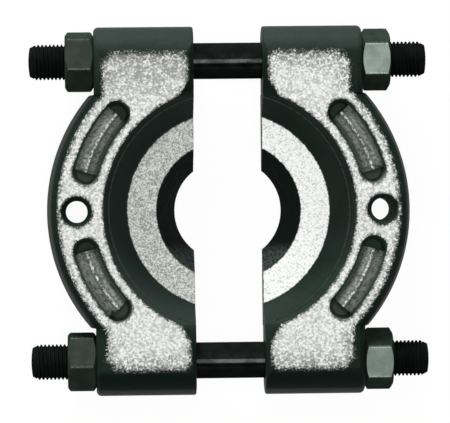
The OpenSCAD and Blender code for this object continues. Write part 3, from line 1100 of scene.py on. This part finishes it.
        # Painted light and shade on the flanks: lighter where they face upwards and darker towards the
        # grooves; they are also made darker just beside the crest
        shaded = wiring.times(wiring.fade(at.upward, FACING_FLANK), wiring.fade(off_middle, ON_FLANK),
                              wiring.steps(off_middle, *OFF_CREST, self.crest_flank, 1.0))
        flank = wiring.mix(shaded, self.flank_streak_and_shade, wiring.mix(streak, self.flank_streak_and_shade, self.flank))
        flank = wiring.mix(wiring.steps(off_ridge, *INNER_GROOVE, 0.0, self.groove_pit), flank, self.pit)

        middle = (PLAN.pocket_start + PLAN.pocket_end) / 2
        past_middle = wiring.times(wiring.minus(turn, middle), wiring.math("SIGN", at.y))
        # Painted light: the end of each pocket nearer to -Y is paler, as its wall faces the light from +Y
        lit_pocket_end = wiring.fade(past_middle, (0.0, -slack), PLAN.pocket_start - middle)
        pit = wiring.mix(lit_pocket_end, self.pit, self.pit_lit_end)
        pitted = wiring.times(wiring.fade(rim, POCKET_WALL), wiring.fade(at.height, ABOVE_UNDERSIDE))

        jags = wiring.noise(at.position, 0.4, detail=4.0, roughness=0.7)
        jagged = wiring.math("ADD", turn, wiring.scaled(jags, jag_swing, -jag_swing / 2))
        mask = wiring.times(wiring.fade(wiring.scaled(uneven, rim_swing, rim), POCKET_INSIDE),
                            wiring.fade(at.height, ABOVE_GROOVE, PLAN.upper_face - PLAN.groove_depth),
                            wiring.fade(jagged, (-slack, slack), PLAN.pocket_start),
                            wiring.fade(jagged, (slack, -slack), PLAN.pocket_end))
        return wiring.mix(mask, wiring.mix(pitted, around, pit), flank)


@dataclass(frozen=True)
class CoatedFinish:
    """Thin dark coating on turned or pressed steel, rubbed bare at its crests.

    Attributes:
        name: Name of the material.
        base: Colour of the coating.
        patch: Colour of its paler patches.
        bare: Colour where it is rubbed through.
        gloss_end: Share of slant, from 0 square on to 1 edge on, at which the steel's gloss is lost in
            the coating.
        glossy_half: Distance from the middle of the tool to which it has gloss, in millimetres.
        polish: Weight of the clear gloss of oiled steel.
        polish_floor: Share of that gloss that dull patches keep.
        coat_roughness: Roughness of the clear gloss.
        dent_height: Height of dents and scale, in millimetres.
        wear_radius: Distance from the stud's axis at which wear starts, in millimetres.
        wear_rag: How ragged the wear is, in millimetres.
        specular: Specular level.
        roughness: Roughness of the coating.
        roughness_swing: How far it changes with the relief.
    """

    name: str
    base: Colour
    patch: Colour
    bare: Colour
    gloss_end: float
    glossy_half: float
    polish: float
    polish_floor: float
    coat_roughness: float
    dent_height: float
    wear_radius: float
    wear_rag: float
    specular: float = 0.0
    roughness: float = 0.2
    roughness_swing: float = 0.2

    def material(self, effects: Effects) -> bpy.types.Material:
        """Builds the material.

        Args:
            effects: The shared node groups.

        Returns:
            The finished material.
        """
        material, wiring, shader = start_material(self.name, self.specular)
        position = wiring.point()
        facing = wiring.new("ShaderNodeLayerWeight", {"Blend": 0.5}).outputs["Facing"]
        along = wiring.math("ABSOLUTE", wiring.split(position)[0])
        gloss = wiring.times(wiring.steps(facing, self.gloss_end, 0.0),
                             wiring.fade(along, GLOSS_END, self.glossy_half))
        wiring.feed(shader.inputs["Metallic"], gloss)
        skin = wiring.effect(effects.skin, Position=position, Dent_Size=1.4, Scale_Size=0.3, Patch_Size=5.0)
        wear = wiring.effect(effects.wear, Position=position, Radius=self.wear_radius, Rag=self.wear_rag)
        coat = wiring.mix(skin["Mottle"], self.base, self.patch)
        wiring.feed(shader.inputs["Base Color"], wiring.mix(wear["Wear"], coat, self.bare))
        rough = wiring.scaled(skin["Relief"], self.roughness_swing, self.roughness - self.roughness_swing / 2)
        wiring.feed(shader.inputs["Roughness"], rough)
        gleam = wiring.blend(skin["Mottle"], self.polish * self.polish_floor, self.polish)
        wiring.feed(shader.inputs["Coat Weight"], wiring.times(gloss, gleam))
        shader.inputs["Coat Roughness"].default_value = self.coat_roughness
        wiring.emboss(shader, skin["Relief"], self.dent_height)
        return material


BLACK_OXIDE = CoatedFinish("black_oxide", base=(0.005, 0.0068, 0.0058, 1), patch=(0.007, 0.009, 0.008, 1),
                           bare=(0.012, 0.014, 0.013, 1), gloss_end=0.15, glossy_half=33, polish=0.29,
                           polish_floor=0.25, coat_roughness=0.1, dent_height=0.03, wear_radius=6.95,
                           wear_rag=0.03)
DARK_PHOSPHATE = CoatedFinish("dark_phosphate", base=(0.0175, 0.028, 0.0220, 1),
                              patch=(0.024, 0.036, 0.029, 1), bare=(0.066, 0.080, 0.072, 1), gloss_end=0.35,
                              glossy_half=100, polish=0.76, polish_floor=0.8, coat_roughness=0.25,
                              dent_height=0.006, wear_radius=11.72, wear_rag=0.12)


def finish_piece(shape: Shape, material: bpy.types.Material, node: str, body: str) -> None:
    """Dresses a piece that stands for a CAD node and puts it on its body.

    Args:
        shape: The piece.
        material: Its material.
        node: The CAD node that it replaces.
        body: The body that it moves with.
    """
    shape.data.materials.clear()
    shape.data.materials.append(material)
    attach(shape, body)
    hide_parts(node)
    LOG.info("%s: %d faces, replaces %s", shape.name, len(shape.data.polygons), node)


@dataclass
class Jaw:
    """One half-round forged jaw with its tapped leg hole.

    Attributes:
        finish: Its black and ground finish.
        tap_reach: How far the thread cutter passes both faces.
        root_play: Gap between the hole's thread and a bolt's crests.
        level_share: Upright share of the normal from which a face counts as flat.
        smoothing: Angle between faces up to which it is shaded smooth, in degrees.
    """

    finish: ForgedFinish
    tap_reach: float = 1.5 * MM
    root_play: float = 0.05 * MM
    level_share: float = 0.9999
    smoothing: float = 32

    @property
    def side(self) -> str:
        """Side of the gap on which it lies, as the names of nodes have it."""
        return self.finish.side.name.lower()

    def build(self) -> Shape:
        """Copies the forging's shape, taps its leg hole and marks the rims of the ground faces.

        Returns:
            The finished jaw, with no material yet.
        """
        forging = copied(f"{self.side}_jaw_forging", frame["nodes"][f"{self.side}_jaw"])
        activate(forging)
        bpy.ops.mesh.customdata_custom_splitnormals_clear()
        with editing(forging):
            bpy.ops.mesh.remove_doubles(threshold=SAME_POINT)
        combine(forging, self._leg_tap(), Cut.DIFFERENCE)
        level = [abs(polygon.normal.z) > self.level_share for polygon in forging.data.polygons]
        with editing(forging, Pick.FACES, level):
            bpy.ops.mesh.region_to_loop()
            bpy.ops.mesh.mark_sharp()
        smooth(forging, self.smoothing)
        return forging

    def _leg_tap(self) -> Shape:
        """Makes the tool that cuts the real thread into the drilled leg hole.

        Returns:
            The helical cutter, upright in the hole.
        """
        mount = next(m for m in frame["record"]["mounts"] if m["name"] == f"{self.side}_leg_hole")
        low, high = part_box(f"{self.side}_jaw")
        section = LEG_THREAD.inside_groove(self.root_play, mount["dims"]["r_mm"] * MM)
        cutter = LEG_THREAD.cutter("leg_tap", section, low.z - self.tap_reach, high.z + self.tap_reach)
        return place(cutter, (mount["pos_m"][0], mount["pos_m"][1], 0), (0, -math.pi / 2, 0))

    def dress(self, effects: Effects) -> None:
        """Builds the jaw, gives it its finish and puts it on its body."""
        node = f"{self.side}_jaw"
        finish_piece(self.build(), self.finish.material(effects), node, node)


@dataclass
class Stud:
    """A stud with a plain shank and a rolled thread at each end.

    Attributes:
        nodes: Names of the CAD nodes of all such studs.
        thread: The thread at both ends.
        crest_radius: Radius of the blunt crests.
        root_radius: Radius of the grooves' bottom.
        dome_steps: Number of straight steps in the outline of a domed end.
        smoothing: Angle between faces up to which it is shaded smooth, in degrees.
    """

    nodes: Sequence[str]
    thread: Thread = STUD_THREAD
    crest_radius: float = 6.9 * MM
    root_radius: float = 6.08 * MM
    dome_steps: int = 6
    smoothing: float = 24

    def build(self) -> Shape:
        """Turns the blank and cuts both threads.

        Returns:
            The finished stud about the X axis, with no material yet.
        """
        low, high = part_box(self.nodes[0])
        stud = turned("threaded_bar", self._outline(high.x, (high.z - low.z) / 2), closed=False)
        thread_start = self.thread.pitch * math.ceil((high.x - THREAD_LENGTH) / self.thread.pitch)
        section = self.thread.groove(self.root_radius, self.crest_radius)
        for turn in (0.0, math.pi):
            cutter = self.thread.cutter("stud_die", section, thread_start, high.x + self.thread.pitch)
            place(cutter, (0, 0, 0), (0, 0, turn))
            combine(stud, cutter, Cut.DIFFERENCE)
        smooth(stud, self.smoothing)
        return stud

    def _outline(self, half_length: float, shank_radius: float) -> Outline:
        """Outline of the turned blank, from one domed end to the other.

        Args:
            half_length: Distance from the middle to an end.
            shank_radius: Radius of the plain shank.

        Returns:
            Its corners.
        """
        face = half_length - STUD_DOME
        dome_radius = (STUD_END_RADIUS ** 2 + STUD_DOME ** 2) / (2 * STUD_DOME)
        shank_end = half_length - THREAD_LENGTH
        half = [(shank_end, shank_radius),
                (shank_end + shank_radius - self.crest_radius, self.crest_radius),
                (face - STUD_CHAMFER_LENGTH, self.crest_radius)]
        for step in range(self.dome_steps + 1):
            radius = STUD_END_RADIUS * (1 - step / self.dome_steps)
            half.append((half_length - dome_radius + math.sqrt(dome_radius ** 2 - radius ** 2), radius))
        return [(-along, radius) for along, radius in reversed(half)] + half

    def dress(self, material: bpy.types.Material) -> None:
        """Builds one stud and puts a copy with its own mesh in the place of each.

        Args:
            material: Their black finish.
        """
        pattern = self.build()
        for node in self.nodes:
            bar = place(copied(f"{node}_bar", pattern), axis_point(node))
            finish_piece(bar, material, node, "studs")
        bpy.data.objects.remove(pattern)


@dataclass
class Nut:
    """A hexagon nut, chamfered at both ends and tapped for its stud.

    Attributes:
        node: Name of its CAD node and of its body.
        thread: Thread of the stud.
        bore_radius: Radius of the crests inside it.
        sink_radius: Radius at which its countersinks meet its faces.
        edge_rounding: Rounding of its six long edges.
        edge_steps: Number of flat steps in that rounding.
        root_play: Gap between its thread and the stud's crests.
        blank_excess: How far the turned blank stands outside the corners.
        smoothing: Angle between faces up to which it is shaded smooth, in degrees.
    """

    node: str
    thread: Thread = STUD_THREAD
    bore_radius: float = 6.188 * MM
    sink_radius: float = 7.3 * MM
    edge_rounding: float = 0.22 * MM
    edge_steps: int = 3
    root_play: float = 0.03 * MM
    blank_excess: float = 1 * MM
    smoothing: float = 8

    def build(self) -> Shape:
        """Forms the hexagon, turns its ends and bore, and taps it.

        Returns:
            The finished nut, with no material yet.
        """
        low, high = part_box(self.node)
        axis = axis_point(self.node)
        nut = self._hexagon(low.x, high.x, self._corner_angle(axis))
        combine(nut, turned("nut_lathe", self._outline(low.x, high.x), closed=True), Cut.INTERSECT)
        section = self.thread.inside_groove(self.root_play, self.bore_radius)
        half_pitch = self.thread.pitch / 2
        start = self.thread.pitch * math.floor(low.x / self.thread.pitch) - half_pitch - self.thread.pitch
        cutter = self.thread.cutter("nut_tap", section, start, high.x + self.thread.pitch)
        combine(nut, cutter, Cut.DIFFERENCE)
        place(nut, axis)
        smooth(nut, self.smoothing)
        return nut

    def _corner_angle(self, axis: Vector) -> float:
        """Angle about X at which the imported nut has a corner.

        Args:
            axis: A point on the nut's axis.

        Returns:
            The angle from +Y towards +Z, in radians.
        """
        spokes = [v.co - axis for v in frame["nodes"][self.node].data.vertices]
        corner = max(spokes, key=lambda spoke: math.hypot(spoke.y, spoke.z))
        return math.atan2(corner.z, corner.y)

    def _hexagon(self, start: float, end: float, corner_angle: float) -> Shape:
        """Six-sided bar along X with softened long edges.

        Args:
            start: X of its first end.
            end: X of its other end.
            corner_angle: Angle about X of one corner.

        Returns:
            The bar, about the X axis.
        """
        deselect_all()
        bpy.ops.mesh.primitive_cylinder_add(vertices=6, radius=NUT_CORNER_RADIUS, depth=end - start,
                                            location=(0, 0, 0), rotation=(0, math.pi / 2, 0))
        bar = bpy.context.object
        bar.name = f"{self.node}_hexagon"
        place(bar, (0, 0, 0), (0, math.pi / 2, 0))
        places = [vertex.co.x for vertex in bar.data.vertices]
        spans = [abs(places[first] - places[second]) for first, second in bar.data.edge_keys]
        with editing(bar, Pick.EDGES, [span > (end - start) / 2 for span in spans]):
            bpy.ops.mesh.bevel(offset=self.edge_rounding, segments=self.edge_steps, affect="EDGES")
        return place(bar, ((start + end) / 2, 0, 0), (corner_angle, 0, 0))

    def _outline(self, start: float, end: float) -> Outline:
        """Ring outline with chamfered ends and a countersunk bore.

        Args:
            start: X of its first end.
            end: X of its other end.

        Returns:
            Its corners.
        """
        past_corner = NUT_CORNER_RADIUS + self.blank_excess
        rise = (past_corner - NUT_FACE_RADIUS) * math.tan(NUT_CHAMFER_ANGLE)
        sink = self.sink_radius - self.bore_radius
        return [(start, NUT_FACE_RADIUS), (start + rise, past_corner), (end - rise, past_corner),
                (end, NUT_FACE_RADIUS), (end, self.sink_radius), (end - sink, self.bore_radius),
                (start + sink, self.bore_radius), (start, self.sink_radius)]

    def dress(self, material: bpy.types.Material) -> None:
        """Builds the nut, gives it its finish and puts it on its body."""
        finish_piece(self.build(), material, self.node, self.node)


@dataclass(frozen=True)
class Lamp:
    """A far soft lamp.

    Attributes:
        name: Name of the lamp.
        azimuth: Direction that it comes from, in degrees from +X towards +Y.
        elevation: Its height above the horizon, in degrees.
        strength: Light that falls on a face square to it.
        width: Angle that it spans in the sky, in degrees.
    """

    name: str
    azimuth: float
    elevation: float
    strength: float
    width: float

    def hang(self) -> None:
        """Adds the lamp to the scene."""
        deselect_all()
        bpy.ops.object.light_add(type="SUN", location=(0, 0, 1))
        lamp = bpy.context.object
        lamp.name = self.name
        lamp.data.energy = self.strength
        lamp.data.angle = math.radians(self.width)
        turn, rise = math.radians(self.azimuth), math.radians(self.elevation)
        towards = Vector((math.cos(turn) * math.cos(rise), math.sin(turn) * math.cos(rise), math.sin(rise)))
        lamp.rotation_euler = towards.to_track_quat("Z", "Y").to_euler()


@dataclass
class Studio:
    """Pale floor, soft lamps, plain world and the camera of the photograph.

    Attributes:
        floor_size: Side of the floor.
        floor_drop: Gap between the underside and the floor.
        floor_colour: Its colour.
        floor_roughness: Its roughness.
        floor_glow: Level at which the floor shows white, beside its share of shadow.
        shadow_share: Share of the floor's look that takes the object's shadow.
        world_light: Strength of the even light from all sides.
        aim: Point at which the camera looks.
        distance: Distance of the camera from it.
        tilt: Angle of the camera from straight above, towards -X.
        roll: Turn of the camera about its own axis.
        lens: Focal length in millimetres.
        sensor: Width of the sensor in millimetres.
        clip: Nearest and farthest distance that the camera sees.
        lamps: The lamps.
    """

    floor_size: float = 60.0
    floor_drop: float = 0.05 * MM
    floor_colour: Colour = (0.93, 0.93, 0.93, 1.0)
    floor_roughness: float = 0.9
    floor_glow: float = 1.02
    shadow_share: float = 0.07
    world_light: float = 0.2
    aim: Vector = Vector((-1.45 * MM, -0.40 * MM, 13 * MM))
    distance: float = 1.3
    tilt: float = math.radians(2.1)
    roll: float = math.radians(0.6)
    lens: float = 268.2
    sensor: float = 36
    clip: Range = (0.05, 100)
    lamps: tuple[Lamp, ...] = (
        Lamp("key", azimuth=320, elevation=84.5, strength=1.0, width=24),
        Lamp("far_box", azimuth=90, elevation=54, strength=0.28, width=40),
        Lamp("far_strip", azimuth=98, elevation=11, strength=4.5, width=20),
        Lamp("left_fill", azimuth=180, elevation=20, strength=0.7, width=30),
        Lamp("near_fill", azimuth=270, elevation=35, strength=0.1, width=30),
    )

    def build(self) -> None:
        """Builds the whole studio."""
        self._lay_floor()
        self._light_world()
        for lamp in self.lamps:
            lamp.hang()
        self._set_camera()
        LOG.info("studio: floor, %d lamps and camera", len(self.lamps))

    def _lay_floor(self) -> None:
        """Lays the pale floor, which shows white and keeps the object's shadow."""
        deselect_all()
        bpy.ops.mesh.primitive_plane_add(size=self.floor_size, location=(0, 0, -self.floor_drop))
        floor = bpy.context.object
        floor.name = "studio_floor"
        material, wiring, shader = start_material("studio_paper", specular=0.0)
        shader.inputs["Base Color"].default_value = self.floor_colour
        shader.inputs["Roughness"].default_value = self.floor_roughness
        white = wiring.new("ShaderNodeEmission", {"Color": (1, 1, 1, 1), "Strength": self.floor_glow})
        path = wiring.new("ShaderNodeLightPath", {}).outputs
        seen = wiring.largest(path["Is Camera Ray"], path["Is Glossy Ray"], path["Is Transmission Ray"])
        share = wiring.times(seen, 1 - self.shadow_share)
        mixed = wiring.new("ShaderNodeMixShader", {0: share, 1: shader.outputs[0], 2: white.outputs[0]})
        wiring.feed(material.node_tree.nodes["Material Output"].inputs["Surface"], mixed.outputs[0])
        floor.data.materials.append(material)

    def _light_world(self) -> None:
        """Sets the even light from all sides."""
        world = bpy.data.worlds.new("studio_air")
        world.use_nodes = True
        sky = world.node_tree.nodes["Background"]
        sky.inputs["Color"].default_value = (1, 1, 1, 1)
        sky.inputs["Strength"].default_value = self.world_light
        bpy.context.scene.world = world

    def _set_camera(self) -> None:
        """Sets the camera at the photograph's angle."""
        deselect_all()
        back = Vector((-math.sin(self.tilt), 0, math.cos(self.tilt)))
        bpy.ops.object.camera_add(location=self.aim + back * self.distance)
        camera = bpy.context.object
        camera.name = "photo_camera"
        camera.rotation_euler = (0, -self.tilt, 0)
        camera.rotation_euler.rotate_axis("Z", -self.roll)
        camera.data.lens = self.lens
        camera.data.sensor_width = self.sensor
        camera.data.clip_start, camera.data.clip_end = self.clip
        bpy.context.scene.camera = camera
        bpy.context.scene.view_settings.view_transform = "Standard"


def jaw_finishes() -> tuple[ForgedFinish, ForgedFinish]:
    """Finishes of the two jaws, whose ground faces differ in tone.

    Returns:
        The left and the right jaw's finish.
    """
    left_centre = (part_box("left_jaw")[0].x + JAW_OUTER_RADIUS) / MM
    right_centre = (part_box("right_jaw")[1].x - JAW_OUTER_RADIUS) / MM
    left = ForgedFinish("forged_left", Side.LEFT, left_centre, flat_bright=(0.77, 0.79, 0.76, 1),
                        flat_dark_share=0.46, far_dark_share=0.60, far_tarnish=0.45, dish_bloom=0.65,
                        band_growth=0.45, nut_insets=(0.8, 1.8),
                        lip_bright=(0.75, 0.775, 0.725, 1), lip_dark=(0.24, 0.26, 0.235, 1),
                        lip_dark_share=0.5)
    right = ForgedFinish("forged_right", Side.RIGHT, right_centre, flat_bright=(0.79, 0.81, 0.78, 1),
                         flat_dark_share=0.48, far_dark_share=0.48, far_tarnish=0.0, dish_bloom=0.25,
                         band_growth=-0.2, nut_insets=(2.8, 2.4),
                         lip_bright=(0.91, 0.922, 0.905, 1), lip_dark=(0.40, 0.42, 0.41, 1),
                         lip_dark_share=0.2)
    return left, right


def main() -> None:
    """Builds every piece and the studio."""
    logging.basicConfig(level=logging.INFO)
    effects = Effects(make_steel_grain(), make_ground_rims(), make_ragged_rim(), make_forged_skin(),
                      make_rim_wear())
    for finish in jaw_finishes():
        Jaw(finish).dress(effects)
    bodies = frame["record"]["behaviour"]["bodies"]
    Stud(bodies["studs"]).dress(BLACK_OXIDE.material(effects))
    nut_material = DARK_PHOSPHATE.material(effects)
    for node in (body for body in bodies if body.endswith("_nut")):
        Nut(node).dress(nut_material)
    Studio().build()


if __name__ == "__main__":
    main()
